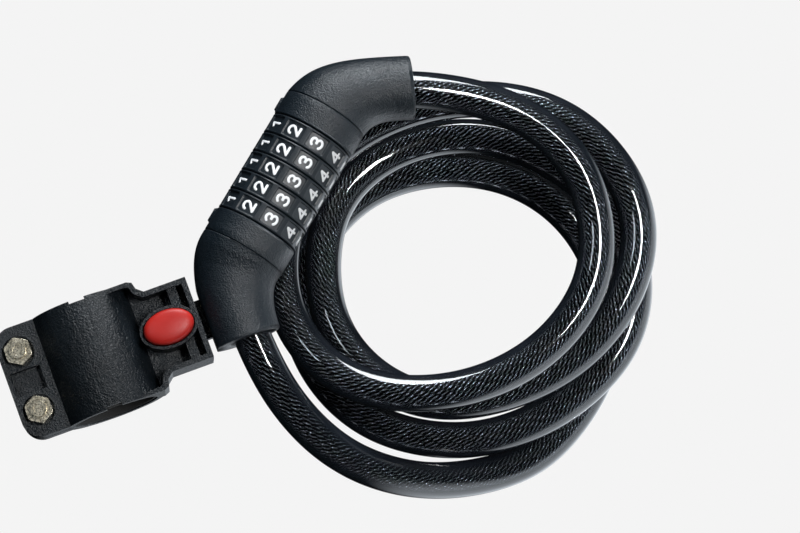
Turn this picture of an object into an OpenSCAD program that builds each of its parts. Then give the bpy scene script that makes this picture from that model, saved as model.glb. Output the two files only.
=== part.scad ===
// Five-dial coiled cable lock in a quick-release bracket that clamps on a bicycle tube.
// Millimetres. The origin is the centre of the tube clamp, and +Z runs up along the tube.
// +X points from the tube to the lock, and -Y is the side that the button faces.

/* [Tube clamp] */
// Diameter of the tube that the clamp grips
tube_d = 25.4; // [25.4:0.1:26.4]
// Thickness of the rubber liner
liner_t = 1; // [0.8:0.1:1.2]
// Wall of the clamp shells
shell_t = 2.5; // [2.2:0.1:2.8]
// Height of the clamp along the tube
clamp_h = 36; // [35:0.5:38]
// Gap left between the two shells when tightened
split_gap = 1.2; // [0.8:0.1:1.6]
// Distance of the clamp bolts from the tube axis
bolt_x = 22.4; // [22.2:0.1:22.6]
// Spacing of the two clamp bolts
bolt_spacing = 19.4; // [18:0.2:20]

/* [Receiver] */
// Distance from the tube axis to the receiver's open end
box_x = 34.3; // [34:0.1:34.4]
// Height of the receiver box
box_h = 26.8; // [26.4:0.1:27.4]
// Depth of the receiver box in front of the split plane
box_d = 13; // [12:0.5:13.5]
// Length of the oval release button
button_l = 16.2; // [15:0.2:16.4]
// Height of the oval release button
button_w = 10.8; // [10.4:0.2:11]

/* [Lock body] */
// Angle of the barrel axis above +X
barrel_angle = 39.4; // [38:0.1:41]
// Pitch of the number dials along the barrel
dial_pitch = 7; // [6.9:0.05:7.1]
// Outer radius of a dial
dial_r = 14; // [13.8:0.1:14]
// Outer radius of the collars beside the dials
collar_r = 14.1; // [14:0.1:14.3]
// Length of each collar
collar_l = 8.4; // [8.2:0.1:8.6]

/* [Cable] */
// Outside diameter of the jacket
cable_d = 12; // [11.6:0.1:12]

/* [Hidden] */
$fn = 48;

black = [0.07, 0.08, 0.09];
dial_black = [0.13, 0.14, 0.15];
red = [0.72, 0.08, 0.06];
zinc = [0.62, 0.58, 0.48];
steel = [0.6, 0.6, 0.62];
rubber = [0.03, 0.03, 0.03];
smoke = [0.16, 0.17, 0.19];

tiny = 0.01;
bore_r = tube_d / 2;
shell_in = bore_r + liner_t;
shell_out = shell_in + shell_t;
ear_x = 28.8;
ear_t = 6.5;
ear_corner = 6;
bolt_r = 2.5;
bolt_clear = 0.15;
nut_af = 8;
nut_h = 4;
head_h = 3.5;
bolt_tip = 1.8;
seat_r = 5;
seat_depth = 1.8;
front_seat = seat_depth - ear_t;
rear_seat = ear_t - 1;
floor_y = -4.5;
channel_front = -3;
channel_back = 1.6;
channel_h = 13.6;
flange_back = 4.5;
lug_gap = 0.4;
lug_h = 12.8;
lug_x0 = 20;
lug_x1 = 39;
button_x = 24.2;
button_y = -18;
button_gap = 0.35;
boss_t = 0.9;
stem_r = 1.8;
stem_back = 0.6;
skirt_y = -9;
spring_y = skirt_y - 1.6;
wall = 1.7;
rib_x = 27.5;
rib_w = 3;
rib_l = 9;
screw_r = 1;
screw_tip = -4;
pocket_x = -27.4;
pocket_w = 9.9;
pocket_h = 7.6;
pocket_depth = 3.4;

barrel_at = [74.45, -7, 31.73];
barrel_len = 5 * dial_pitch;
stack_end = barrel_len / 2;
collar_end = stack_end + collar_l;
side_gap = 0.2;
core_r = 7;
core_bore = 4.6;
pin_r = 4.5;
pin_bottom = -18;
slot_w = 2.4;
code_in = core_r + 0.06;
code_out = 9;
groove_r = 8.3;
groove_w = 3;
stud_w = 2;
stud_r = 7.9;
exit_bore = 6.6;
ferrule_r = 4.8;
ferrule_l = 13;
cross_r = 1.25;
cross_l = 15;
seat_in = 6;
pin_foot_r = 6;
pin_foot_h = 4;
lug_screw_x = 37;
lug_screw_z = 4;
clip_z = collar_end - 1.9;

// Side outlines of the two elbow caps in the barrel's frame, as [across, along]
upper_outer = [[-collar_r, collar_end], [-12.4, 38], [-4.5, 44.3], [13.4, 56]];
upper_inner = [[collar_r, collar_end], [14.1, 33], [20, 35.4], [25.5, 39.4]];
lower_outer = [[-collar_r, -collar_end], [-14.1, -30.6], [-15.1, -38.8], [8.2, -57.9]];
lower_inner = [[collar_r, -collar_end], [13.9, -26.9], [12, -32.1], [22.4, -40.7]];
// Half depth of each cap from the collar to the cable
upper_depths = [collar_r, 13.5, 12.2, 10.7, 10.1];
lower_depths = [collar_r, 13.4, 11.8, 11.3, 11.2];
// Where the cable's axis enters each cap, in the main frame, and the way it leaves
upper_exit = [123.5, -7, 46.8];
upper_out = [0.97, 0, -0.246];
lower_exit = [48, -7, -11.5];
lower_out = [0, 0, -1];

// The cable's route: three and a half loose turns from the upper cap to the lower one
route = [
    [118, -7, 48], [125, -7, 46], [142, -5, 38], [158, -3, 25], [167, -2, 6], [166, 0, -14],
    [158, 1, -32], [140, 2, -45], [119, 3, -50], [98, 4, -48], [79, 5, -40], [66, 7, -26],
    [61, 10, -7], [66, 13, 13], [78, 15, 30], [96, 15, 41], [117, 15, 45], [138, 14, 43],
    [158, 13, 35], [173, 13, 22], [181, 11, 3], [182, 12, -17], [172, 13, -35], [155, 15, -48],
    [136, 17, -54], [114, 18, -54], [94, 18, -48], [80, 19, -33], [74, 21, -13], [79, 24, 8],
    [90, 26, 26], [109, 27, 35], [130, 27, 35], [150, 27, 28], [166, 26, 12], [176, 26, -6],
    [178, 26, -28], [169, 26, -47], [155, 27, -58], [135, 29, -65], [113, 30, -66], [94, 30, -60],
    [77, 31, -48], [67, 33, -30], [65, 35, -8], [74, 38, 10], [88, 39, 22], [106, 39, 29],
    [128, 38, 27], [148, 38, 18], [162, 38, 3], [169, 39, -16], [168, 41, -36], [159, 42, -54],
    [143, 44, -68], [124, 40, -77], [103, 33, -76], [84, 22, -71], [68, 12, -61], [57, 3, -48],
    [50, -4, -31], [48, -7, -14], [48, -7, -6]
];
cable_rings = 80;
cable_sides = 10;

// ---- helpers ----

function unit(v) = v / norm(v);

// A closed skin through rings of points, all with the same count
module loft(rings) {
    n = len(rings[0]);
    m = len(rings);
    polyhedron(
        points = [for (r = rings) each r],
        faces = concat(
            [[for (j = [0:n - 1]) j]],
            [for (i = [0:m - 2], j = [0:n - 1])
                each [
                    [i * n + j, (i + 1) * n + j, (i + 1) * n + (j + 1) % n],
                    [i * n + j, (i + 1) * n + (j + 1) % n, i * n + (j + 1) % n]
                ]],
            [[for (j = [n - 1:-1:0]) (m - 1) * n + j]]
        )
    );
}

// A round ring of points about c, square to the direction t, with side as its reference
function ring_at(c, t, side, r, n) =
    let (a = unit(cross(side, t)), b = cross(t, a))
    [for (j = [0:n - 1]) c + r * (cos(360 * j / n) * a + sin(360 * j / n) * b)];

function bezier(p, t) =
    pow(1 - t, 3) * p[0] + 3 * pow(1 - t, 2) * t * p[1]
    + 3 * (1 - t) * t * t * p[2] + pow(t, 3) * p[3];

// A value read from evenly spaced samples, with a straight blend between them
function sampled(list, t) =
    let (x = t * (len(list) - 1), i = min(floor(x), len(list) - 2), f = x - i)
    list[i] + (list[i + 1] - list[i]) * f;

// Uniform cubic B-spline that starts and ends at the first and last points
function padded_route(p) =
    concat([2 * p[0] - p[1]], p, [2 * p[len(p) - 1] - p[len(p) - 2]]);
function spline(e, x) =
    let (i = min(floor(x), len(e) - 4), f = x - i)
    (pow(1 - f, 3) * e[i] + (3 * f * f * f - 6 * f * f + 4) * e[i + 1]
    + (3 * f * f - 3 * f * f * f + 3 * f + 1) * e[i + 2] + f * f * f * e[i + 3]) / 6;

// Puts children in the barrel's frame: its Z runs up the barrel
module at_barrel() {
    translate(barrel_at) rotate([0, 90 - barrel_angle, 0]) children();
}

// Turns a shape drawn in X and Z so that it is extruded from y0 to y1
module slab(y0, y1) {
    translate([0, y1, 0]) rotate([90, 0, 0]) linear_extrude(y1 - y0) children();
}

// A cylinder along Y, from y0 to y1
module rod_y(x, z, r, y0, y1) {
    translate([x, y1, z]) rotate([90, 0, 0]) cylinder(r = r, h = y1 - y0);
}

module hex_y(x, z, af, y0, y1) {
    translate([x, y1, z]) rotate([90, 0, 0]) rotate([0, 0, 30])
        cylinder(r = af / sqrt(3), h = y1 - y0, $fn = 6);
}

function ellipse(a, b) = [for (i = [0:39]) [a * cos(9 * i), b * sin(9 * i)]];

module at_bolts() {
    for (s = [-1, 1]) translate([-bolt_x, 0, s * bolt_spacing / 2]) children();
}

// A round-wire compression spring along Z
module coil_spring(r, wire, height, turns) {
    steps = 10;
    loft([for (k = [0:turns * steps])
        let (a = 360 * k / steps, c = [r * cos(a), r * sin(a), height * k / (turns * steps)])
        ring_at(c, unit([-sin(a), cos(a), 0.1]), [0, 0, 1], wire, 6)]);
}

// ---- bracket ----

module ear_outline() {
    difference() {
        translate([-ear_x, -clamp_h / 2]) square([ear_x - shell_in + 1, clamp_h]);
        for (s = [-1, 1])
            translate([-ear_x, s * clamp_h / 2])
                difference() {
                    square(2 * ear_corner, center = true);
                    translate([ear_corner, -s * ear_corner]) circle(r = ear_corner);
                }
    }
}

// Edge of the receiver where it steps down from the clamp, for the upper or the lower side
function shoulder(s) = [
    [16.4, s * clamp_h / 2], [18, s * (clamp_h / 2 - 0.7)], [18.6, s * (box_h / 2 + 1.7)],
    [20.6, s * box_h / 2], [box_x, s * box_h / 2]
];
function inner_shoulder(s) = [
    [15.4, s * (clamp_h / 2 - 1.4)], [16.6, s * (clamp_h / 2 - 2)], [17.4, s * (box_h / 2 + 0.2)],
    [19.8, s * (box_h / 2 - wall)], [box_x - wall, s * (box_h / 2 - wall)]
];
function flipped(p) = [for (i = [len(p) - 1:-1:0]) p[i]];

module box_outline() {
    polygon(concat([[8, -clamp_h / 2]], shoulder(-1), flipped(shoulder(1)), [[8, clamp_h / 2]]));
}

module pocket_outline() {
    polygon(concat([[6, 1.4 - clamp_h / 2]], inner_shoulder(-1),
        flipped(inner_shoulder(1)), [[6, clamp_h / 2 - 1.4]]));
}

module half(side) {
    translate([-60, side > 0 ? split_gap / 2 : -60 - split_gap / 2, -30]) cube([120, 60, 60]);
}

module button_boss(grow, y0, y1) {
    translate([button_x, 0, 0]) slab(y0, y1)
        polygon(ellipse(button_l / 2 + grow, button_w / 2 + grow));
}

module clamp_front_shell() {
    color(black) difference() {
        union() {
            intersection() {
                translate([0, 0, -clamp_h / 2]) cylinder(r = shell_out, h = clamp_h);
                half(-1);
            }
            slab(-ear_t, -split_gap / 2) ear_outline();
            difference() {
                slab(-box_d, 0) box_outline();
                difference() {
                    slab(-box_d - 1, floor_y) pocket_outline();
                    translate([0, 0, -clamp_h / 2]) cylinder(r = shell_out, h = clamp_h);
                    button_boss(button_gap + boss_t, -box_d - 1, floor_y);
                    for (s = [-1, 1])
                        translate([rib_x, -box_d + 1.5, s > 0 ? box_h / 2 - rib_l : -box_h / 2])
                            cube([rib_w, box_d, rib_l]);
                }
            }
            button_boss(button_gap + boss_t, -box_d - 1.2, floor_y);
        }
        translate([0, 0, -clamp_h]) cylinder(r = shell_in, h = 2 * clamp_h);
        button_boss(button_gap, -box_d - 2, floor_y);
        rod_y(button_x, 0, stem_r + 0.2, floor_y - 1, 1);
        translate([lug_x0 - 0.6, channel_front, -channel_h / 2])
            cube([box_x, 5, channel_h]);
        for (s = [-1, 1])
            translate([-2.5, -shell_out - 1, s * clamp_h / 2 - 0.9]) cube([5, 6, 1.8]);
        at_bolts() {
            rod_y(0, 0, bolt_r + bolt_clear, -ear_t - 1, 1);
            rod_y(0, 0, seat_r, -ear_t - 1, front_seat);
        }
        slab(-ear_t - 1, pocket_depth - ear_t)
            translate([pocket_x, -pocket_h / 2]) square([pocket_w, pocket_h]);
        at_receiver_screws() rod_y(0, 0, screw_r, screw_tip, 1);
    }
}

module at_receiver_screws() {
    for (s = [-1, 1]) translate([30.6, 0, s * 10.4]) children();
}

module clamp_rear_shell() {
    color(black) difference() {
        union() {
            intersection() {
                translate([0, 0, -clamp_h / 2]) cylinder(r = shell_out, h = clamp_h);
                half(1);
            }
            slab(split_gap / 2, ear_t) ear_outline();
            slab(0, flange_back) box_outline();
        }
        translate([0, 0, -clamp_h]) cylinder(r = shell_in, h = 2 * clamp_h);
        translate([lug_x0 - 0.6, -1, -channel_h / 2]) cube([box_x, 1 + channel_back, channel_h]);
        rod_y(button_x, 0, stem_r + 0.2, -1, flange_back + 1);
        at_bolts() {
            rod_y(0, 0, bolt_r + bolt_clear, -1, ear_t + 1);
            rod_y(0, 0, seat_r, rear_seat, ear_t + 1);
        }
        at_receiver_screws() {
            rod_y(0, 0, 1.6, -1, flange_back + 1);
            rod_y(0, 0, 2.8, flange_back - 1, flange_back + 1);
        }
    }
}

module liner(side) {
    color(rubber) intersection() {
        difference() {
            translate([0, 0, 0.5 - clamp_h / 2]) cylinder(r = shell_in, h = clamp_h - 1);
            translate([0, 0, -clamp_h]) cylinder(r = bore_r, h = 2 * clamp_h);
        }
        half(side);
    }
}

module liner_front() {
    liner(-1);
}

module liner_rear() {
    liner(1);
}

module clamp_nuts() {
    color(zinc) at_bolts() difference() {
        intersection() {
            hex_y(0, 0, nut_af, front_seat - nut_h, front_seat);
            translate([0, front_seat, 0]) rotate([90, 0, 0])
                cylinder(r1 = nut_af, r2 = nut_af / 2 + 0.35, h = nut_h);
        }
        rod_y(0, 0, bolt_r, -20, 0);
    }
}

module clamp_bolts() {
    tip_y = front_seat - nut_h - bolt_tip;
    color(zinc) at_bolts() difference() {
        union() {
            rod_y(0, 0, bolt_r, tip_y, rear_seat + 1);
            hex_y(0, 0, nut_af, rear_seat, rear_seat + head_h);
        }
        rod_y(0, 0, 1.5, tip_y - 1, tip_y + 0.6);
    }
}

module receiver_screws() {
    color(zinc) at_receiver_screws() difference() {
        union() {
            rod_y(0, 0, screw_r, screw_tip + tiny, flange_back - 0.5);
            rod_y(0, 0, 2.6, flange_back - 1, flange_back + 0.6);
        }
        translate([-2, flange_back, -0.35]) cube([4, 1, 0.7]);
    }
}

module release_button() {
    a = button_l / 2;
    b = button_w / 2;
    color(red) union() {
        translate([button_x, 0, 0]) difference() {
            hull() {
                slab(button_y + 2.2, skirt_y) polygon(ellipse(a, b));
                slab(button_y + 1.1, skirt_y) polygon(ellipse(a - 0.6, b - 0.6));
                slab(button_y + 0.3, skirt_y) polygon(ellipse(a - 1.9, b - 1.7));
                slab(button_y, skirt_y) polygon(ellipse(a - 3.6, b - 3));
            }
            rod_y(0, 0, 4, skirt_y - 2, skirt_y + 1);
        }
        rod_y(button_x, 0, stem_r, skirt_y - 2.5, stem_back);
    }
}

module button_spring() {
    color(steel) translate([button_x, spring_y, 0]) rotate([-90, 0, 0])
        coil_spring(2.7, 0.3, floor_y - 0.4 - spring_y, 4);
}

// ---- parts that hang the lock on the bracket ----

module at_lug_screws() {
    for (s = [-1, 1]) translate([lug_screw_x, 0, s * lug_screw_z]) children();
}

module mount_lug() {
    color(black) difference() {
        union() {
            translate([lug_x0, channel_front + lug_gap, -lug_h / 2])
                cube([lug_x1 - lug_x0, channel_back - channel_front - 2 * lug_gap, lug_h]);
            translate([box_x + 0.4, channel_front - 1, -lug_h / 2 + 1])
                cube([1.6, channel_back - channel_front + 2, lug_h - 2]);
        }
        translate([lug_x0 - 1, -5, -2.1]) cube([button_x - lug_x0 + 1, 10, 4.2]);
        rod_y(button_x, 0, 3.2, -5, 5);
        at_lug_screws() rod_y(0, 0, 1, -5, 5);
    }
}

module lug_screws() {
    color(zinc) at_lug_screws() rod_y(0, 0, 1 - tiny, -3.5, 3);
}

// ---- lock body ----

// An elbow cap's skin: oval rings that reach from one side outline to the other
module elbow_skin(from_side, to_side, depths) {
    steps = 16;
    loft([for (k = [0:steps])
        let (t = k / steps, p = bezier(from_side, t), q = bezier(to_side, t), d = (q - p) / 2)
        [for (j = [0:39]) let (c = (p + q) / 2 + d * cos(9 * j))
            [c[0], sampled(depths, t) * sin(9 * j), c[1]]]]);
}

// Cable bore, ferrule bore and flare at a cap's exit, in the main frame
module exit_cut(at, out) {
    turn = atan2(out[0], out[2]);
    translate(at) rotate([0, turn, 0]) {
        translate([0, 0, -seat_in]) cylinder(r = exit_bore, h = 20);
        translate([0, 0, -seat_in - ferrule_l - 0.5]) cylinder(r = ferrule_r + 0.05, h = 20);
        translate([0, 0, -2.5]) cylinder(r1 = exit_bore, r2 = exit_bore + 1.6, h = 3);
        translate([0, 40, -seat_in - ferrule_l / 2]) rotate([90, 0, 0])
            cylinder(r = cross_r, h = 40 + cross_l / 2);
    }
}

module ferrule(at, out) {
    turn = atan2(out[0], out[2]);
    color(steel) translate(at) rotate([0, turn, 0]) difference() {
        translate([0, 0, -seat_in - ferrule_l]) cylinder(r = ferrule_r, h = ferrule_l);
        translate([0, 20, -seat_in - ferrule_l / 2]) rotate([90, 0, 0])
            cylinder(r = cross_r, h = 40);
    }
}

module cross_pin(at, out) {
    turn = atan2(out[0], out[2]);
    color(steel) translate(at) rotate([0, turn, 0])
        translate([0, cross_l / 2 + 1, -seat_in - ferrule_l / 2])
        rotate([90, 0, 0]) cylinder(r = cross_r, h = cross_l + 1);
}

module lower_elbow_cap() {
    color(black) difference() {
        at_barrel() elbow_skin(lower_inner, lower_outer, lower_depths);
        exit_cut(lower_exit, lower_out);
        at_barrel() translate([0, 0, -collar_end - 3]) cylinder(r = core_r, h = 10);
        translate([lug_x0, channel_front + lug_gap, -lug_h / 2])
            cube([lug_x1 - lug_x0, channel_back - channel_front - 2 * lug_gap, lug_h]);
        at_lug_screws() rod_y(0, 0, 1, -3.5, 3);
        translate([box_x - 3, -20, -20]) cube([3.4 + 1.6, 40, 32]);
    }
}

module upper_elbow_cap() {
    color(black) difference() {
        at_barrel() elbow_skin(upper_outer, upper_inner, upper_depths);
        exit_cut(upper_exit, upper_out);
        at_barrel() translate([0, 0, collar_end - 1]) cylinder(r = pin_foot_r, h = pin_foot_h + 1);
    }
}

module index_ridge(z0) {
    rotate([0, 0, -170]) translate([collar_r - 1, -0.6, z0]) cube([1.7, 1.2, collar_l - 3]);
}

module lower_collar() {
    color(black) at_barrel() difference() {
        union() {
            translate([0, 0, -collar_end + 0.1])
                cylinder(r = collar_r, h = collar_l - 0.1 - side_gap);
            index_ridge(-collar_end + 2.5);
        }
        translate([0, 0, -collar_end - 1]) cylinder(r = core_r, h = collar_l + 2);
    }
}

module keyway(z0, z1) {
    translate([-slot_w / 2, 0, z0]) cube([slot_w, stud_r + 0.4, z1 - z0]);
}

module upper_collar() {
    color(black) at_barrel() difference() {
        union() {
            translate([0, 0, stack_end + side_gap])
                cylinder(r = collar_r, h = collar_l - 0.1 - side_gap);
            index_ridge(stack_end + 0.5);
        }
        translate([0, 0, stack_end - 1]) cylinder(r = core_r, h = collar_l + 2);
        translate([0, 0, collar_end - 2]) cylinder(r = 9, h = 4);
        keyway(stack_end - 1, collar_end + 1);
    }
}

module core_tube() {
    color(steel) at_barrel() difference() {
        translate([0, 0, -collar_end - 3]) cylinder(r = core_r, h = 2 * collar_end + 2.4);
        translate([0, 0, -25.5]) cylinder(r = core_bore, h = 60);
        keyway(-stack_end, collar_end + 1);
        for (i = [0:4]) translate([0, 0, (i - 2) * dial_pitch + 2.6])
            difference() {
                cylinder(r = core_r + 1, h = 0.8);
                translate([0, 0, -1]) cylinder(r = core_r - 0.8, h = 3);
            }
        translate([0, 0, clip_z - 0.1]) difference() {
            cylinder(r = core_r + 1, h = 0.8);
            translate([0, 0, -1]) cylinder(r = core_r - 0.8, h = 3);
        }
    }
}

// Open wire ring that lies in a groove of the core tube, with its gap over the slot
module wire_ring(z, r, wire) {
    translate([0, 0, z]) rotate([0, 0, 120]) rotate_extrude(angle = 300)
        translate([r, 0]) circle(r = wire, $fn = 16);
}

module detent_springs() {
    color(steel) at_barrel()
        for (i = [0:4]) wire_ring((i - 2) * dial_pitch + 3, core_r - 0.42, 0.36);
}

module retaining_clip() {
    color(steel) at_barrel() translate([0, 0, clip_z]) rotate([0, 0, 115])
        rotate_extrude(angle = 310) translate([core_r - 0.7, 0]) square([2, 0.6]);
}

module plug_spring() {
    color(steel) at_barrel() translate([0, 0, -25]) coil_spring(3.6, 0.4, 6.2, 5);
}

module dial(i) {
    cell_w = 6.9;
    cell_l = 5.6;
    cell_r = dial_r - 0.65;
    width = dial_pitch - 2 * side_gap;
    color(dial_black) at_barrel() translate([0, 0, (i - 3) * dial_pitch]) difference() {
        rotate_extrude() polygon([
            [code_out, -width / 2], [dial_r - 0.3, -width / 2], [dial_r, 0.3 - width / 2],
            [dial_r, width / 2 - 0.3], [dial_r - 0.3, width / 2], [code_out, width / 2]
        ]);
        for (k = [0:9]) rotate([0, 0, 36 * k - 112])
            translate([cell_r, -cell_w / 2, -cell_l / 2]) cube([2, cell_w, cell_l]);
    }
}

module code_ring(i) {
    width = dial_pitch - 2 * side_gap;
    color(zinc) at_barrel() translate([0, 0, (i - 3) * dial_pitch]) difference() {
        translate([0, 0, -width / 2]) cylinder(r = code_out, h = width);
        translate([0, 0, -width]) cylinder(r = code_in, h = 2 * width);
        translate([0, 0, -groove_w / 2]) cylinder(r = groove_r, h = groove_w);
        keyway(-width, width);
    }
}

module shackle_pin() {
    color(steel) at_barrel() union() {
        translate([0, 0, pin_bottom]) cylinder(r = pin_r, h = collar_end - pin_bottom);
        translate([0, 0, collar_end]) cylinder(r = pin_foot_r, h = pin_foot_h);
        for (i = [0:4])
            translate([-stud_w / 2, pin_r - 1, (i - 2) * dial_pitch - 1])
                cube([stud_w, stud_r - pin_r + 1, 2]);
    }
}

module cable() {
    path = padded_route(route);
    last = len(route) - 1;
    color(smoke) loft([for (k = [0:cable_rings - 1])
        let (x = last * k / (cable_rings - 1),
            d = spline(path, min(x + 0.02, last)) - spline(path, max(x - 0.02, 0)))
        ring_at(spline(path, x), unit(d), [0, 1, 0], cable_d / 2, cable_sides)]);
}

clamp_front_shell();
clamp_rear_shell();
liner_front();
liner_rear();
clamp_bolts();
clamp_nuts();
receiver_screws();
release_button();
button_spring();
mount_lug();
lug_screws();
lower_elbow_cap();
lower_collar();
core_tube();
plug_spring();
detent_springs();
upper_collar();
retaining_clip();
for (i = [1:5]) dial(i);
for (i = [1:5]) code_ring(i);
upper_elbow_cap();
shackle_pin();
ferrule(upper_exit, upper_out);  // upper_ferrule
cross_pin(upper_exit, upper_out);  // upper_cross_pin
ferrule(lower_exit, lower_out);  // lower_ferrule
cross_pin(lower_exit, lower_out);  // lower_cross_pin
cable();
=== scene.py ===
import math

import bpy
import numpy as np
from mathutils import Matrix, Vector


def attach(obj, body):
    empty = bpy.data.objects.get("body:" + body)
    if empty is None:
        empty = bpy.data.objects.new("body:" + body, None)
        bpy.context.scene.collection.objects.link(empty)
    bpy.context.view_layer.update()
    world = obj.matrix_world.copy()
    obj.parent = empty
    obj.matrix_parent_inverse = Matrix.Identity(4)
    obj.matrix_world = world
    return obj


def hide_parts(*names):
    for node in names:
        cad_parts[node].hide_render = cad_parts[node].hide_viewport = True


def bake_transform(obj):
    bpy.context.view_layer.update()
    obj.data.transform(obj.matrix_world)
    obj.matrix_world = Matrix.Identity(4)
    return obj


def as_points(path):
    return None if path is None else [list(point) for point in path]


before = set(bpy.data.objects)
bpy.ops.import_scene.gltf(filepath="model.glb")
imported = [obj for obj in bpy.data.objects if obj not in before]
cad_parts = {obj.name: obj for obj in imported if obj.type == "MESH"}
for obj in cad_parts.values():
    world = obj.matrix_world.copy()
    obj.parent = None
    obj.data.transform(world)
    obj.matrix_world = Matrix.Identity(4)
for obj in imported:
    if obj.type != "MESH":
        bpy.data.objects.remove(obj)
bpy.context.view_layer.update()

# Everything is in metres in the row frame: +Z up the bicycle tube, +X to the lock, -Y the button's side.
MM = 0.001

# The barrel: its centre, the direction up its axis, and the direction across it
BARREL_AT = np.array([74.45, -7, 31.73]) * MM
BARREL_ANGLE = math.radians(39.4)
ALONG = np.array([math.cos(BARREL_ANGLE), 0, math.sin(BARREL_ANGLE)])
ACROSS = np.array([math.sin(BARREL_ANGLE), 0, -math.cos(BARREL_ANGLE)])
SIDE = np.array([0, 1, 0])
DIAL_PITCH = 7.0
DIAL_GAP = 0.2
STACK_END = 2.5 * DIAL_PITCH
COLLAR_END = STACK_END + 8.4
COLLAR_R = 14.1
BOX_CLEAR_X = 36.3 * MM

# The cable: its route as in the CAD file, from the upper cap to the lower one
CABLE_D = 12 * MM
ROUTE = [
    (118, -7, 48), (125, -7, 46), (142, -5, 38), (158, -3, 25), (167, -2, 6), (166, 0, -14),
    (158, 1, -32), (140, 2, -45), (119, 3, -50), (98, 4, -48), (79, 5, -40), (66, 7, -26), (61, 10, -7),
    (66, 13, 13), (78, 15, 30), (96, 15, 41), (117, 15, 45), (138, 14, 43), (158, 13, 35),
    (173, 13, 22), (181, 11, 3), (182, 12, -17), (172, 13, -35), (155, 15, -48), (136, 17, -54),
    (114, 18, -54), (94, 18, -48), (80, 19, -33), (74, 21, -13), (79, 24, 8), (90, 26, 26),
    (109, 27, 35), (130, 27, 35), (150, 27, 28), (166, 26, 12), (176, 26, -6), (178, 26, -28),
    (169, 26, -47), (155, 27, -58), (135, 29, -65), (113, 30, -66), (94, 30, -60), (77, 31, -48),
    (67, 33, -30), (65, 35, -8), (74, 38, 10), (88, 39, 22), (106, 39, 29), (128, 38, 27),
    (148, 38, 18), (162, 38, 3), (169, 39, -16), (168, 41, -36), (159, 42, -54), (143, 44, -68),
    (124, 40, -77), (103, 33, -76), (84, 22, -71), (68, 12, -61), (57, 3, -48), (50, -4, -31),
    (48, -7, -14), (48, -7, -6),
]
RING_STEP = 1.5 * MM
PULL_START = 0.02
PULL_SPREAD = 0.20


# ---- camera ----

# It looks at the row's -Y face from a little below it and to its left.
CAMERA_DISTANCE = 0.9
LOOK_AT = Vector((0.0997, -0.007, -0.006))
LOOK = Vector((0.1155, 0.9866, 0.1155)).normalized()
CAMERA_RIGHT = Vector((0.934, -0.0683, -0.3507)).normalized()
CAMERA_UP = CAMERA_RIGHT.cross(LOOK)
camera = bpy.data.objects.new("camera", bpy.data.cameras.new("camera"))
bpy.context.scene.collection.objects.link(camera)
camera.data.sensor_width = 36
camera.data.lens = 127.6
camera.matrix_world = Matrix.Translation(LOOK_AT - CAMERA_DISTANCE * LOOK) @ Matrix(
    (CAMERA_RIGHT, CAMERA_UP, -LOOK)
).transposed().to_4x4()
bpy.context.scene.camera = camera


# ---- mesh helpers ----

def add_mesh(name, points, faces, smooth=True):
    mesh = bpy.data.meshes.new(name)
    mesh.from_pydata([tuple(p) for p in points], [], faces)
    mesh.validate()
    if smooth:
        mesh.shade_smooth()
    obj = bpy.data.objects.new(name, mesh)
    bpy.context.scene.collection.objects.link(obj)
    return obj


def skin_faces(rings, sides, first=0, closed=False):
    """Quads between rings of points that follow each other; closed joins the last ring to the first."""
    faces = []
    for i in range(rings if closed else rings - 1):
        a, b = first + i * sides, first + ((i + 1) % rings) * sides
        for j in range(sides):
            k = (j + 1) % sides
            faces.append((a + j, a + k, b + k, b + j))
    return faces


def set_uv(obj, uv):
    """One UV per vertex, except that u runs on to 1 in the faces that close a ring."""
    mesh = obj.data
    corner = np.zeros(len(mesh.loops), int)
    mesh.loops.foreach_get("vertex_index", corner)
    values = np.array(uv)[corner]
    start = np.zeros(len(mesh.polygons), int)
    mesh.polygons.foreach_get("loop_start", start)
    for s, p in zip(start, mesh.polygons):
        part = values[s:s + p.loop_total]
        if part[:, 0].max() - part[:, 0].min() > 0.5:
            part[part[:, 0] < 0.5, 0] += 1
    layer = mesh.uv_layers.new(name="UVMap")
    layer.data.foreach_set("uv", values.ravel())


def unit(v):
    return v / np.linalg.norm(v)


# ---- the cable's line ----

def spline_point(points, x):
    i = min(int(x), len(points) - 4)
    f = x - i
    weights = ((1 - f) ** 3, 3 * f ** 3 - 6 * f ** 2 + 4, 3 * f ** 2 - 3 * f ** 3 + 3 * f + 1, f ** 3)
    return sum(w * points[i + k] for k, w in enumerate(weights)) / 6


def cable_line():
    """Points along the cable RING_STEP apart, with how far along it each one is."""
    p = np.array(ROUTE, float) * MM
    p = np.vstack([2 * p[0] - p[1], p, 2 * p[-1] - p[-2]])
    fine = np.array([spline_point(p, x) for x in np.linspace(0, len(p) - 3, 6000)])
    along = np.concatenate([[0], np.cumsum(np.linalg.norm(np.diff(fine, axis=0), axis=1))])
    count = int(along[-1] / RING_STEP)
    at = np.linspace(0, along[-1], count)
    return np.column_stack([np.interp(at, along, fine[:, k]) for k in range(3)]), at


def frames_on(line):
    """Tangents and two directions across that turn as little as they can along the line."""
    tangents = np.gradient(line, axis=0)
    tangents /= np.linalg.norm(tangents, axis=1)[:, None]
    first = [unit(np.cross(SIDE, tangents[0]))]
    for t in tangents[1:]:
        a = first[-1] - t * (first[-1] @ t)
        first.append(unit(a))
    first = np.array(first)
    return tangents, first, np.cross(tangents, first)


def pull_share(at):
    """How far each place on the cable follows the plug when it is drawn out: wholly at the cap and for
    PULL_START beyond it, and not at all a further PULL_SPREAD on."""
    t = np.clip(1 - (at - PULL_START) / PULL_SPREAD, 0, 1)
    return t * t * (3 - 2 * t)


LINE, LINE_AT = cable_line()
TANGENTS, FIRST, SECOND = frames_on(LINE)


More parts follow.
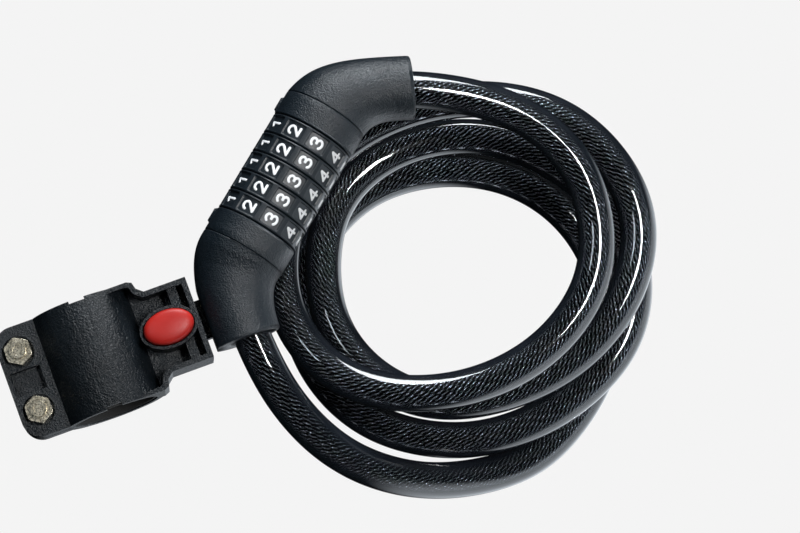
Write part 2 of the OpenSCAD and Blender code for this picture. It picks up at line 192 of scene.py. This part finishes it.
def tube(name, radius, sides):
    angles = np.arange(sides) * 2 * math.pi / sides
    points, uv, share = [], [], []
    for c, a, b, s in zip(LINE, FIRST, SECOND, LINE_AT):
        for k, q in enumerate(angles):
            points.append(c + radius * (math.cos(q) * a + math.sin(q) * b))
            uv.append((k / sides, s / MM))
            share.append(pull_share(s))
    rings = len(points) // sides
    faces = skin_faces(rings, sides)
    faces += [tuple(range(sides))[::-1], tuple(range(len(points) - sides, len(points)))]
    obj = add_mesh(name, points, faces)
    set_uv(obj, uv)
    return obj, share


JACKET_SIDES = 28
CORE_R = 2.2 * MM
CORE_SIDES = 10
STRANDS = 8
STRAND_R = 1.05 * MM
STRAND_RING_R = 2.7 * MM
STRAND_LAY = 48 * MM
STRAND_SIDES = 10


def rope(name):
    """The steel rope in the jacket: strands laid in a right-handed helix round a plain core."""
    points, uv, share, faces = [], [], [], []
    angles = np.arange(STRAND_SIDES) * 2 * math.pi / STRAND_SIDES
    slope = 2 * math.pi * STRAND_RING_R / STRAND_LAY
    for strand in range(STRANDS):
        first = len(points)
        for c, t, a, b, s in zip(LINE, TANGENTS, FIRST, SECOND, LINE_AT):
            turn = 2 * math.pi * (s / STRAND_LAY + strand / STRANDS)
            out = math.cos(turn) * a + math.sin(turn) * b
            way = unit(t + slope * (math.cos(turn) * b - math.sin(turn) * a))
            across = np.cross(way, out)
            for k, q in enumerate(angles):
                points.append(c + STRAND_RING_R * out + STRAND_R * (math.cos(q) * out + math.sin(q) * across))
                uv.append((k / STRAND_SIDES, s / MM + strand * 0.7))
                share.append(pull_share(s))
        faces += skin_faces(len(LINE), STRAND_SIDES, first)
        faces += [
            tuple(range(first, first + STRAND_SIDES))[::-1],
            tuple(range(len(points) - STRAND_SIDES, len(points))),
        ]
    obj = add_mesh(name, points, faces)
    set_uv(obj, uv)
    return obj, share


jacket, jacket_share = tube("cable_jacket", CABLE_D / 2, JACKET_SIDES)
core, core_share = tube("rope_core", CORE_R, CORE_SIDES)
strands, strands_share = rope("rope_strands")


# ---- materials ----

class Nodes:
    """A material's node tree, with short ways to add to it."""

    def __init__(self, name):
        self.material = bpy.data.materials.new(name)
        self.material.use_nodes = True
        self.tree = self.material.node_tree
        self.shader = self.tree.nodes["Principled BSDF"]
        self.output = self.tree.nodes["Material Output"]
        self.where = self.tree.nodes.new("ShaderNodeTexCoord")

    def add(self, kind, inputs=None, **settings):
        node = self.tree.nodes.new(kind)
        for key, value in settings.items():
            setattr(node, key, value)
        for key, value in (inputs or {}).items():
            if isinstance(value, bpy.types.NodeSocket):
                self.link(value, node.inputs[key])
            else:
                node.inputs[key].default_value = value
        return node

    def link(self, source, target):
        self.tree.links.new(source, target)

    def noise(self, scale, detail=3.0, rough=0.5):
        return self.add(
            "ShaderNodeTexNoise",
            {"Vector": self.where.outputs["Object"], "Scale": scale, "Detail": detail, "Roughness": rough},
        ).outputs["Fac"]

    def span(self, value, low, high, to_low, to_high):
        return self.add(
            "ShaderNodeMapRange",
            {"Value": value, "From Min": low, "From Max": high, "To Min": to_low, "To Max": to_high},
        ).outputs["Result"]

    def ramp(self, value, *stops):
        node = self.add("ShaderNodeValToRGB", {"Fac": value})
        ramp = node.color_ramp
        while len(ramp.elements) < len(stops):
            ramp.elements.new(1)
        for element, (place, colour) in zip(ramp.elements, stops):
            element.position = place
            element.color = (*colour, 1)
        return node.outputs["Color"]

    def bump(self, height, strength, distance, below=None):
        inputs = {"Height": height, "Strength": strength, "Distance": distance}
        if below is not None:
            inputs["Normal"] = below
        return self.add("ShaderNodeBump", inputs).outputs["Normal"]

    def math(self, operation, a, b=0.0):
        node = self.add("ShaderNodeMath", operation=operation)
        for socket, value in zip(node.inputs, (a, b)):
            if isinstance(value, bpy.types.NodeSocket):
                self.link(value, socket)
            else:
                socket.default_value = value
        return node.outputs["Value"]

    def finish(self, colour, roughness, normal, **sockets):
        self.link(colour, self.shader.inputs["Base Color"])
        self.link(roughness, self.shader.inputs["Roughness"])
        self.link(normal, self.shader.inputs["Normal"])
        for key, value in sockets.items():
            self.shader.inputs[key.replace("_", " ")].default_value = value
        return self.material


def plastic(name, dark, light, grain, depth, rough, specular):
    """Moulded plastic: a spark-eroded grain of that scale and depth, with uneven sheen."""
    n = Nodes(name)
    patch = n.noise(120, 4)
    speckle = n.noise(grain, 2, 0.6)
    colour = n.ramp(patch, (0.3, dark), (0.7, light))
    roughness = n.span(speckle, 0.35, 0.65, rough - 0.07, rough + 0.08)
    coarse = n.bump(n.noise(grain * 0.35, 2), 0.35, depth)
    normal = n.bump(speckle, 0.6, depth, coarse)
    return n.finish(colour, roughness, normal, Specular_IOR_Level=specular)


def metal(name, dark, light, rough, scratch):
    n = Nodes(name)
    colour = n.ramp(n.noise(500, 4), (0.35, dark), (0.65, light))
    grain = n.noise(scratch, 3, 0.7)
    roughness = n.span(grain, 0.3, 0.7, rough - 0.08, rough + 0.1)
    normal = n.bump(grain, 0.25, 0.00005)
    return n.finish(colour, roughness, normal, Metallic=1.0)


WIRES_PER_TURN = 3.0
WIRE_PITCH = 1.35


def rope_material():
    """Steel strands of fine wires, which cross each strand at an angle. Their colour is a painted glint, near
    white on each wire's crest, and painted shade, near black in the grooves between wires.
    """
    n = Nodes("rope_steel")
    parts = n.add("ShaderNodeSeparateXYZ", {"Vector": n.where.outputs["UV"]})
    turns = n.math("MULTIPLY", parts.outputs["X"], WIRES_PER_TURN)
    along = n.math("DIVIDE", parts.outputs["Y"], WIRE_PITCH)
    wire_and_glint = n.math("SINE", n.math("MULTIPLY", n.math("ADD", turns, along), 2 * math.pi))
    # Painted glint and painted shade: the wire pattern turns the base colour near white on each crest and
    # near black in the grooves.
    colour = n.ramp(n.span(wire_and_glint, -1, 1, 0, 1), (0.45, (0.006, 0.007, 0.009)), (0.8, (0.95, 0.97, 0.99)))
    roughness = n.span(n.noise(700, 3), 0.3, 0.7, 0.13, 0.26)
    normal = n.bump(wire_and_glint, 1.0, 0.00042)
    return n.finish(colour, roughness, normal, Metallic=1.0)


def jacket_material():
    """Clear smoked vinyl. It shows the rope where it is looked at squarely, and darkens towards its edges."""
    n = Nodes("smoked_jacket")
    film = n.noise(90, 3)
    sheen = n.span(n.noise(350, 3), 0.3, 0.7, 0.05, 0.10)
    ripple = n.bump(film, 0.15, 0.0003)
    n.finish(n.ramp(film, (0.3, (0.006, 0.008, 0.011)), (0.7, (0.011, 0.014, 0.019))), sheen, ripple,
             Specular_IOR_Level=0.0)
    facing = n.add("ShaderNodeLayerWeight", {"Blend": 0.5}).outputs["Facing"]
    solid = n.span(facing, 0.03, 0.36, 0.03, 1.0)
    clear = n.add("ShaderNodeBsdfTransparent", {"Color": (0.86, 0.89, 0.94, 1)})
    body = n.add("ShaderNodeMixShader", {"Fac": solid})
    n.link(clear.outputs[0], body.inputs[1])
    n.link(n.shader.outputs[0], body.inputs[2])
    gloss = n.add("ShaderNodeBsdfGlossy", {"Color": (1, 1, 1, 1), "Roughness": sheen, "Normal": ripple})
    mirror = n.add("ShaderNodeFresnel", {"IOR": 1.6}).outputs["Fac"]
    mixed = n.add("ShaderNodeMixShader", {"Fac": mirror})
    n.link(body.outputs[0], mixed.inputs[1])
    n.link(gloss.outputs[0], mixed.inputs[2])
    n.link(mixed.outputs[0], n.output.inputs["Surface"])
    return n.material


def button_material():
    n = Nodes("button_red")
    patch = n.noise(160, 4)
    colour = n.ramp(patch, (0.3, (0.36, 0.012, 0.009)), (0.7, (0.42, 0.018, 0.013)))
    fine = n.noise(2600, 2)
    roughness = n.span(fine, 0.3, 0.7, 0.36, 0.5)
    return n.finish(colour, roughness, n.bump(fine, 0.2, 0.00006), Specular_IOR_Level=0.3)


def paint_material():
    n = Nodes("digit_white")
    patch = n.noise(900, 3)
    colour = n.ramp(patch, (0.3, (0.80, 0.81, 0.83)), (0.7, (0.92, 0.93, 0.94)))
    return n.finish(colour, n.span(patch, 0.3, 0.7, 0.4, 0.55), n.bump(patch, 0.15, 0.00004))


def rubber_material():
    n = Nodes("rubber_black")
    fine = n.noise(3000, 3)
    colour = n.ramp(fine, (0.3, (0.012, 0.012, 0.012)), (0.7, (0.03, 0.03, 0.03)))
    return n.finish(colour, n.span(fine, 0.3, 0.7, 0.75, 0.9), n.bump(fine, 0.4, 0.0001))


MATERIALS = {
    "bracket_plastic": plastic(
        "bracket_plastic", (0.003, 0.005, 0.007), (0.006, 0.009, 0.012), 1700, 0.0007, 0.36, 0.32
    ),
    "cap_plastic": plastic(
        "cap_plastic", (0.004, 0.008, 0.012), (0.008, 0.013, 0.018), 2000, 0.0005, 0.36, 0.48
    ),
    "dial_plastic": plastic(
        "dial_plastic", (0.006, 0.010, 0.014), (0.011, 0.016, 0.021), 2600, 0.00008, 0.40, 0.45
    ),
    "digit_white": paint_material(),
    "button_red": button_material(),
    "smoked_jacket": jacket_material(),
    "rope_steel": rope_material(),
    "zinc_steel": metal("zinc_steel", (0.52, 0.47, 0.36), (0.76, 0.70, 0.56), 0.26, 1800),
    "bright_steel": metal("bright_steel", (0.52, 0.52, 0.53), (0.68, 0.68, 0.69), 0.24, 2400),
    "rubber_black": rubber_material(),
}


def dress(obj, material):
    obj.data.materials.clear()
    obj.data.materials.append(MATERIALS[material])
    return obj


# ---- elbow caps, collars and dials, built in the barrel's frame in millimetres ----

def from_barrel(p):
    """A point in the barrel's frame (across, side, along), in millimetres, as a point in the row frame."""
    return BARREL_AT + MM * (p[0] * ACROSS + p[1] * SIDE + p[2] * ALONG)


def bezier(p, t):
    p = [np.array(q, float) for q in p]
    return (1 - t) ** 3 * p[0] + 3 * (1 - t) ** 2 * t * p[1] + 3 * (1 - t) * t * t * p[2] + t ** 3 * p[3]


CAP_SIDES = 72
BORE_R = 6.6


def elbow_cap(name, from_side, to_side, depths, exit_at, facet=None):
    """An elbow cap's skin: oval rings that reach from one side outline to the other, with a rounded seam
    edge, a rounded exit lip, and the flared bore that the cable enters. facet is (middle, half) of a flat,
    as angles."""
    steps = 64
    knots = np.linspace(0, 1, len(depths))

    def ring(t):
        p, q = bezier(from_side, t), bezier(to_side, t)
        half = np.linalg.norm(q - p) / 2
        return (p + q) / 2, (q - p) / 2 / half, half, float(np.interp(t, knots, depths))

    rows = []  # centre, direction towards to_side, half width, half depth
    centre, way, width, depth = ring(0)
    for shift, inset in ((0.0, 0.5), (0.06, 0.22), (0.22, 0.05)):
        rows.append((centre + shift * np.array([-way[1], way[0]]), way, width - inset, depth - inset))
    rows += [ring(k / steps) for k in range(1, steps)]
    centre, way, width, depth = ring(1)
    out = np.array([-way[1], way[0]])
    for shift, inset in ((-0.75, 0.0), (-0.42, 0.07), (-0.18, 0.22), (-0.04, 0.45), (0.0, 0.75)):
        rows.append((centre + shift * out, way, width - inset, depth - inset))
    bore = centre + ((np.array(exit_at) - centre) @ way) * way
    for shift, radius in ((0.0, BORE_R + 1.5), (-0.15, BORE_R + 1.15), (-0.9, BORE_R + 0.5), (-2.5, BORE_R),
                          (-9.0, BORE_R)):
        rows.append((bore + shift * out, way, radius, radius))
    points = []
    for centre, way, width, depth in rows:
        for k in range(CAP_SIDES):
            q = 2 * math.pi * k / CAP_SIDES
            a, b = width * math.cos(q), depth * math.sin(q)
            if facet and width > BORE_R + 2:
                middle, half = facet
                reach = math.hypot(width * math.cos(middle), depth * math.sin(middle)) * math.cos(half)
                over = a * math.cos(middle) + b * math.sin(middle) - reach
                if over > 0:
                    a -= over * math.cos(middle)
                    b -= over * math.sin(middle)
            points.append(from_barrel((centre[0] + a * way[0], b, centre[1] + a * way[1])))
    faces = skin_faces(len(rows), CAP_SIDES)
    faces += [tuple(range(CAP_SIDES))[::-1], tuple(range(len(points) - CAP_SIDES, len(points)))]
    return add_mesh(name, points, faces)


UPPER_OUTER = [(-COLLAR_R, COLLAR_END), (-12.4, 38), (-4.5, 44.3), (13.4, 56)]
UPPER_INNER = [(COLLAR_R, COLLAR_END), (14.1, 33), (20, 35.4), (25.5, 39.4)]
LOWER_OUTER = [(-COLLAR_R, -COLLAR_END), (-14.1, -30.6), (-15.1, -38.8), (8.2, -57.9)]
LOWER_INNER = [(COLLAR_R, -COLLAR_END), (13.9, -26.9), (12, -32.1), (22.4, -40.7)]
UPPER_DEPTHS = [COLLAR_R, 13.5, 12.2, 10.7, 10.1]
LOWER_DEPTHS = [COLLAR_R, 13.4, 11.8, 11.3, 11.2]
FACET = (math.radians(-139), math.radians(8.5))
upper_cap = elbow_cap("upper_cap", UPPER_OUTER, UPPER_INNER, UPPER_DEPTHS, (19.5, 47.5))
lower_cap = elbow_cap("lower_cap", LOWER_INNER, LOWER_OUTER, LOWER_DEPTHS, (16.6, -47.9), facet=FACET)
for v in lower_cap.data.vertices:
    v.co.x = max(v.co.x, BOX_CLEAR_X)

RIDGE_AT = math.radians(-170)
COLLAR_BORE = 7.0
KEYWAY_HALF = 1.2
KEYWAY_R = 8.3
KEYWAY_AT = math.pi / 2
CLIP_SEAT_R = 9.0
CLIP_SEAT = 2.0


def bore_radius(q, radius, keyed):
    """Radius of a collar's bore at angle q: it is wider in the keyway that the plug's studs slide through."""
    in_key = abs(q - KEYWAY_AT) < math.asin(KEYWAY_HALF / KEYWAY_R) + 0.001
    return max(radius, KEYWAY_R) if keyed and in_key else radius


def collar(name, low, high, ridge_from, ridge_to, keyed=False):
    """A collar beside the dials, with the rounded ridge that marks the opening number. A keyed one has a
    keyway along its bore and a seat for the retaining clip at its high end."""
    edge = 0.4
    heights = sorted([low, low + 0.12, low + edge, high - edge, high - 0.12, high,
                      ridge_from, ridge_from + 0.4, ridge_to - 0.6, ridge_to])
    key_turns = [math.asin(KEYWAY_HALF / r) for r in (COLLAR_BORE, KEYWAY_R)]
    turns = sorted([2 * math.pi * k / 96 - math.pi for k in range(96)]
                   + [RIDGE_AT + q * 0.012 for q in range(-7, 8)]
                   + [KEYWAY_AT + s * q for s in (-1, 1) for q in key_turns])
    if keyed:
        inside = [(high, CLIP_SEAT_R), (high - CLIP_SEAT, CLIP_SEAT_R), (high - CLIP_SEAT, COLLAR_BORE)]
    else:
        inside = [(high, COLLAR_BORE)]
    points = []
    for z, bore in [(low, COLLAR_BORE), *((z, None) for z in heights), *inside]:
        end = min(z - low, high - z)
        radius = COLLAR_R - (0.4 if end <= 0 else 0.15 if end < edge - 0.01 else 0.0)
        on_ridge = ridge_from < z < ridge_to
        for q in turns:
            lift = 0.75 * max(0, 1 - ((q - RIDGE_AT) / 0.06) ** 2) ** 0.5 if on_ridge else 0
            r = bore_radius(q, bore, keyed) if bore else radius + lift
            points.append(from_barrel((r * math.cos(q), r * math.sin(q), z)))
    return add_mesh(name, points, skin_faces(len(points) // len(turns), len(turns), closed=True))


lower_ring = collar("lower_ring", -COLLAR_END + 0.02, -STACK_END - DIAL_GAP,
                    -COLLAR_END + 2.5, -STACK_END - 0.6)
upper_ring = collar("upper_ring", STACK_END + DIAL_GAP, COLLAR_END - 0.02,
                    STACK_END + 0.6, COLLAR_END - 2.5, keyed=True)

DIAL_R = 14.0
CELL_R = 13.35
CELL_W = 7.1
CELL_L = 5.6
FIRST_DIGIT = math.radians(-58)
GROOVE_R = 12.9
CELL_TURN = math.radians(36)


def cell_floor(away):
    """Radius of a cell's floor, between a flat and a round one. away is the angle from its middle."""
    return 0.3 * CELL_R / math.cos(away) + 0.7 * CELL_R


def dial_radius(away, z):
    """Radius of a dial's surface at an angle from a cell's middle and a height from the dial's middle."""
    half_w, half_l, corner, wall = CELL_W / 2, CELL_L / 2, 0.7, 0.28
    x, y = abs(away) * DIAL_R, abs(z)
    dx, dy = x - (half_w - corner), y - (half_l - corner)
    if dx > 0 and dy > 0:
        inside = corner - math.hypot(dx, dy)
    else:
        inside = corner - max(dx, dy)
    share = min(max(inside / wall, 0), 1)
    share = share * share * (3 - 2 * share)
    edge = DIAL_PITCH / 2 - DIAL_GAP - y
    top = DIAL_R - 0.3 * max(0, 1 - edge / 0.3) ** 2
    return top + (cell_floor(away) - top) * share


def dial_mesh(name, middle):
    """A number dial: ten shallow cells between ridges, with soft rims at both ends."""
    half = DIAL_PITCH / 2 - DIAL_GAP
    edge = CELL_W / 2 / DIAL_R
    step = CELL_TURN / 2
    spots = sorted({0, 0.35 * edge, 0.65 * edge, 0.86 * edge, edge - 0.024, edge - 0.013, edge - 0.004,
                    edge + 0.003, edge + 0.012, (edge + step) / 2, step})
    spots = sorted({round(s * q, 6) for q in spots for s in (-1, 1)})[1:]
    heights = [0, 1.0, 1.8, 2.2, 2.45, 2.55, 2.66, 2.76, 2.84, 3.0, 3.15, 3.27, half]
    heights = sorted({s * q for q in heights for s in (-1, 1)})
    turns = [(FIRST_DIGIT + k * CELL_TURN + s, s) for k in range(10) for s in spots]
    points = []
    touch = DIAL_PITCH / 2 - 0.02
    rows = [(-touch, 9.02), (-touch, GROOVE_R), (-half, GROOVE_R + 0.1), *((z, None) for z in heights),
            (half, GROOVE_R + 0.1), (touch, GROOVE_R), (touch, 9.02)]
    for z, radius in rows:
        for turn, away in turns:
            r = radius or dial_radius(away, z)
            points.append(from_barrel((r * math.sin(turn), -r * math.cos(turn), middle + z)))
    return add_mesh(name, points, skin_faces(len(rows), len(turns), closed=True))


def arc(cx, cy, rx, ry, start, end, count=14):
    q = np.radians(np.linspace(start, end, count))
    return [(cx + rx * math.cos(a), cy + ry * math.sin(a)) for a in q]


# Each numeral as strokes in a box 3.5 mm wide and 4.4 mm high, with x to its right and y to its top
NUMERALS = {
    0: [arc(0, 0, 1.2, 1.75, 90, 450, 26)],
    1: [[(-0.75, 1.0), (0.25, 1.75)], [(0.25, 1.75), (0.25, -1.75)]],
    2: [arc(0, 0.72, 1.2, 1.03, 175, -38) + [(-1.15, -1.72)], [(-1.15, -1.75), (1.25, -1.75)]],
    3: [arc(-0.05, 0.90, 1.12, 0.87, 155, -90), arc(-0.05, -0.82, 1.27, 0.95, 90, -155)],
    4: [[(0.55, -1.75), (0.55, 1.75)], [(0.55, 1.75), (-1.35, -0.75)], [(-1.35, -0.75), (1.35, -0.75)]],
    5: [[(1.1, 1.75), (-0.85, 1.75)], [(-0.85, 1.75), (-1.0, 0.15)],
        [(-1.0, 0.15)] + arc(-0.02, -0.62, 1.25, 1.12, 128, -150)],
    6: [arc(0, -0.65, 1.22, 1.1, 90, 450, 22),
        [(0.75, 1.7), (0.1, 1.35), (-0.6, 0.75), (-1.05, 0.1), (-1.2, -0.6)]],
    7: [[(-1.2, 1.75), (1.2, 1.75)], [(1.2, 1.75), (0.4, 0.3), (-0.25, -1.75)]],
    8: [arc(0, 0.88, 1.05, 0.88, 90, 450, 20), arc(0, -0.82, 1.25, 0.94, 90, 450, 22)],
    9: [arc(0, 0.65, 1.22, 1.1, 90, 450, 22),
        [(-0.75, -1.7), (-0.1, -1.35), (0.6, -0.75), (1.05, -0.1), (1.2, 0.6)]],
}
STROKE_HALF = 0.44
NUMERAL_SIZE = 1.07
STROKE_RISE = 0.16
STROKE_SIDES = 12


def stroke(points, faces, path, place):
    """A round-ended raised stroke along path. place(x, y, rise) puts a point on the dial."""
    p = np.array(path, float) * NUMERAL_SIZE
    loop = np.allclose(p[0], p[-1]) and len(p) > 3
    way = np.gradient(p, axis=0)
    way /= np.linalg.norm(way, axis=1)[:, None]
    if loop:
        way[0] = way[-1] = unit(way[0] + way[-1])
    rows = [(q, d, 1.0) for q, d in zip(p, way)]
    if not loop:
        bends = [math.radians(a) for a in (15, 35, 60, 80)]
        rows = (
            [(p[0] - way[0] * STROKE_HALF * math.sin(a), way[0], math.cos(a)) for a in reversed(bends)]
            + rows
            + [(p[-1] + way[-1] * STROKE_HALF * math.sin(a), way[-1], math.cos(a)) for a in bends]
        )
    first = len(points)
    for q, d, size in rows:
        for k in range(STROKE_SIDES):
            a = 2 * math.pi * k / STROKE_SIDES
            x, y = q + size * STROKE_HALF * math.cos(a) * np.array([-d[1], d[0]])
            points.append(place(x, y, STROKE_RISE * math.sqrt(size) * math.sin(a)))
    faces += skin_faces(len(rows), STROKE_SIDES, first)
    if not loop:
        faces += [tuple(range(first, first + STROKE_SIDES))[::-1],
                  tuple(range(len(points) - STROKE_SIDES, len(points)))]


def numerals_mesh(name, middle):
    points, faces = [], []
    for k in range(10):
        digit = (k + 1) % 10

        def place(x, y, rise, turn=FIRST_DIGIT + k * CELL_TURN):
            away = -y / CELL_R
            r = cell_floor(away) + 0.02 + rise
            return from_barrel((r * math.sin(turn + away), -r * math.cos(turn + away), middle + x))

        for path in NUMERALS[digit]:
            stroke(points, faces, path, place)
    return add_mesh(name, points, faces)


dials = []
for i in range(1, 6):
    middle = (i - 3) * DIAL_PITCH
    dials.append((dial_mesh(f"dial_face_{i}", middle), numerals_mesh(f"numerals_{i}", middle)))


# ---- release button ----

BUTTON_X = 24.2
BUTTON_HALF = (8.1, 5.4)


def button_mesh(name):
    """The oval button, from the back of its stem to its shallow crown."""
    stem = [(1.5, 0.6), (1.8, 0.3), (1.8, -9.0)]
    rows = [(1.0, -9.0), (1.0, -15.4), (0.985, -16.1), (0.955, -16.6), (0.91, -17.0), (0.84, -17.3),
            (0.72, -17.55), (0.55, -17.75), (0.35, -17.9), (0.15, -17.98)]
    ovals = [(r, r, y) for r, y in stem]
    ovals += [(size * BUTTON_HALF[0], size * BUTTON_HALF[1], y) for size, y in rows]
    sides = 72
    points = []
    for a, b, y in ovals:
        for k in range(sides):
            q = 2 * math.pi * k / sides
            points.append((MM * (BUTTON_X + a * math.cos(q)), MM * y, MM * b * math.sin(q)))
    points.append((MM * BUTTON_X, -18.0 * MM, 0))
    faces = skin_faces(len(ovals), sides)
    last = (len(ovals) - 1) * sides
    faces += [(last + k, last + (k + 1) % sides, len(points) - 1) for k in range(sides)]
    faces.append(tuple(range(sides))[::-1])
    return add_mesh(name, points, faces)


button = button_mesh("button_cap")


# ---- what each piece is made of, what it replaces and what it moves with ----

def bend_with_plug(obj, share):
    """Bakes the piece's placement into its mesh. The cable's turns overlap, so the share of the pull that
    each ring would take is set by how far along the cable it is; share is only turned into an array here, and
    nothing bends the cable."""
    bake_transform(obj)
    np.array(share, np.float32)


dress(jacket, "smoked_jacket")
dress(strands, "rope_steel")
dress(core, "rope_steel")
bend_with_plug(jacket, jacket_share)
bend_with_plug(strands, strands_share)
bend_with_plug(core, core_share)
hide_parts("cable")
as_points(LINE[::4])

for obj, node, body in (
    (upper_cap, "upper_elbow_cap", "plug"),
    (lower_cap, "lower_elbow_cap", "lock_body"),
    (upper_ring, "upper_collar", "lock_body"),
    (lower_ring, "lower_collar", "lock_body"),
):
    dress(obj, "cap_plastic")
    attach(obj, body)
    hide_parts(node)

for i, (face, numerals) in enumerate(dials, 1):
    dress(face, "dial_plastic")
    dress(numerals, "digit_white")
    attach(face, f"wheel_{i}")
    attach(numerals, f"wheel_{i}")
    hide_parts(f"dial_{i}")

dress(button, "button_red")
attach(button, "button")
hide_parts("release_button")

CARRIED = {
    "bracket_plastic": ["clamp_front_shell", "clamp_rear_shell", "mount_lug"],
    "rubber_black": ["liner_front", "liner_rear"],
    "zinc_steel": ["clamp_bolts", "clamp_nuts", "receiver_screws", "lug_screws"]
    + [f"code_ring_{i}" for i in range(1, 6)],
    "bright_steel": ["button_spring", "core_tube", "plug_spring", "detent_springs", "retaining_clip",
                     "shackle_pin", "upper_ferrule", "upper_cross_pin", "lower_ferrule", "lower_cross_pin"],
}
BEVELS = {"clamp_front_shell": 0.45, "clamp_rear_shell": 0.45, "clamp_nuts": 0.15, "clamp_bolts": 0.15}
for material, names in CARRIED.items():
    for name in names:
        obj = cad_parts[name]
        dress(obj, material)
        if name in BEVELS:
            weld = obj.modifiers.new("weld", "WELD")
            weld.merge_threshold = 0.00001
            bevel = obj.modifiers.new("bevel", "BEVEL")
            bevel.width = BEVELS[name] * MM
            bevel.segments = 2
            bevel.limit_method = "ANGLE"
            bevel.angle_limit = math.radians(35)
            bevel.harden_normals = True


# ---- studio ----

FLOOR_AT = (0.08, 0.0, -0.32)
PALE = (0.905, 0.905, 0.905)


def studio_floor():
    """A pale round floor that fades into the pale surroundings away from the object."""
    count, radii = 64, (0.25, 0.5, 1.0, 2.0, 6.0)
    turns = [2 * math.pi * k / count for k in range(count)]
    points = [FLOOR_AT]
    for r in radii:
        points += [(FLOOR_AT[0] + r * math.cos(q), r * math.sin(q), FLOOR_AT[2]) for q in turns]
    faces = [(0, 1 + k, 1 + (k + 1) % count) for k in range(count)] + skin_faces(len(radii), count, 1)
    floor = add_mesh("floor", points, faces)
    n = Nodes("floor_pale")
    n.shader.inputs["Base Color"].default_value = (0.85, 0.85, 0.85, 1)
    n.shader.inputs["Roughness"].default_value = 0.9
    n.shader.inputs["Specular IOR Level"].default_value = 0.0
    place = n.add("ShaderNodeVectorMath", {0: n.where.outputs["Object"], 1: FLOOR_AT}, operation="DISTANCE")
    fade = n.add("ShaderNodeMapRange", {"Value": place.outputs["Value"], "From Min": 0.04, "From Max": 0.3,
                                        "To Min": 0.0, "To Max": 1.0}, interpolation_type="SMOOTHSTEP")
    seen = n.add("ShaderNodeLightPath").outputs["Is Camera Ray"]
    glow = n.add("ShaderNodeEmission", {"Color": (*PALE, 1), "Strength": n.span(seen, 0, 1, 0.12, 1.0)})
    mixed = n.add("ShaderNodeMixShader", {"Fac": fade.outputs["Result"]})
    n.link(n.shader.outputs[0], mixed.inputs[1])
    n.link(glow.outputs[0], mixed.inputs[2])
    n.link(mixed.outputs[0], n.output.inputs["Surface"])
    floor.data.materials.append(n.material)
    floor.visible_glossy = False


def surroundings():
    """Pale for the camera. What the gloss mirrors is bright beyond the object to the right and below,
    and dark to the left."""
    world = bpy.data.worlds.new("studio")
    bpy.context.scene.world = world
    world.use_nodes = True
    tree = world.node_tree
    tree.nodes.clear()

    def add(kind, **settings):
        node = tree.nodes.new(kind)
        for key, value in settings.items():
            setattr(node, key, value)
        return node

    where = add("ShaderNodeTexCoord")

    def glow_towards(direction, low, high, strength):
        dot = add("ShaderNodeVectorMath", operation="DOT_PRODUCT")
        tree.links.new(where.outputs["Generated"], dot.inputs[0])
        dot.inputs[1].default_value = Vector(direction).normalized()
        part = add("ShaderNodeMapRange", interpolation_type="SMOOTHSTEP")
        tree.links.new(dot.outputs["Value"], part.inputs["Value"])
        for key, value in (("From Min", low), ("From Max", high), ("To Min", 0.0), ("To Max", strength)):
            part.inputs[key].default_value = value
        return part.outputs["Result"]

    right, up, away = CAMERA_RIGHT, CAMERA_UP, Vector((0, 1, 0))
    beyond = glow_towards(0.9 * right - 0.44 * up + 0.5 * away, 0.55, 0.8, 2.2)
    sky = glow_towards(0.25 * right + 0.9 * up - 0.35 * away, 0.5, 1.0, 0.12)
    total = add("ShaderNodeMath", operation="ADD")
    tree.links.new(beyond, total.inputs[0])
    tree.links.new(sky, total.inputs[1])
    base = add("ShaderNodeMath", operation="ADD")
    tree.links.new(total.outputs[0], base.inputs[0])
    base.inputs[1].default_value = 0.006
    lit = add("ShaderNodeBackground")
    lit.inputs["Color"].default_value = (0.86, 0.93, 1.0, 1)
    tree.links.new(base.outputs[0], lit.inputs["Strength"])
    seen = add("ShaderNodeBackground")
    seen.inputs["Color"].default_value = (*PALE, 1)
    path = add("ShaderNodeLightPath")
    mixed = add("ShaderNodeMixShader")
    tree.links.new(path.outputs["Is Camera Ray"], mixed.inputs["Fac"])
    tree.links.new(lit.outputs[0], mixed.inputs[1])
    tree.links.new(seen.outputs[0], mixed.inputs[2])
    out = add("ShaderNodeOutputWorld")
    tree.links.new(mixed.outputs[0], out.inputs["Surface"])


def lamp(name, offset, size, power, colour=(1, 1, 1)):
    """A soft area light. offset is (right, up, towards the camera) from the object, in metres."""
    data = bpy.data.lights.new(name, "AREA")
    data.shape = "RECTANGLE"
    data.size, data.size_y = size
    data.energy = power
    data.color = colour
    obj = bpy.data.objects.new(name, data)
    bpy.context.scene.collection.objects.link(obj)
    middle = Vector((0.085, 0, -0.01))
    obj.location = middle + CAMERA_RIGHT * offset[0] + CAMERA_UP * offset[1] - LOOK * offset[2]
    obj.rotation_mode = "QUATERNION"
    obj.rotation_quaternion = (obj.location - middle).to_track_quat("Z", "Y")


studio_floor()
surroundings()
lamp("key", (0.10, 0.90, 0.22), (0.5, 0.4), 12, (0.93, 0.97, 1))
lamp("fill", (-0.45, 0.25, 0.95), (0.12, 0.3), 1.3, (0.85, 0.93, 1))
lamp("strip", (0.42, 0.18, 1.0), (0.15, 0.3), 8)
bpy.context.scene.view_settings.view_transform = "Standard"
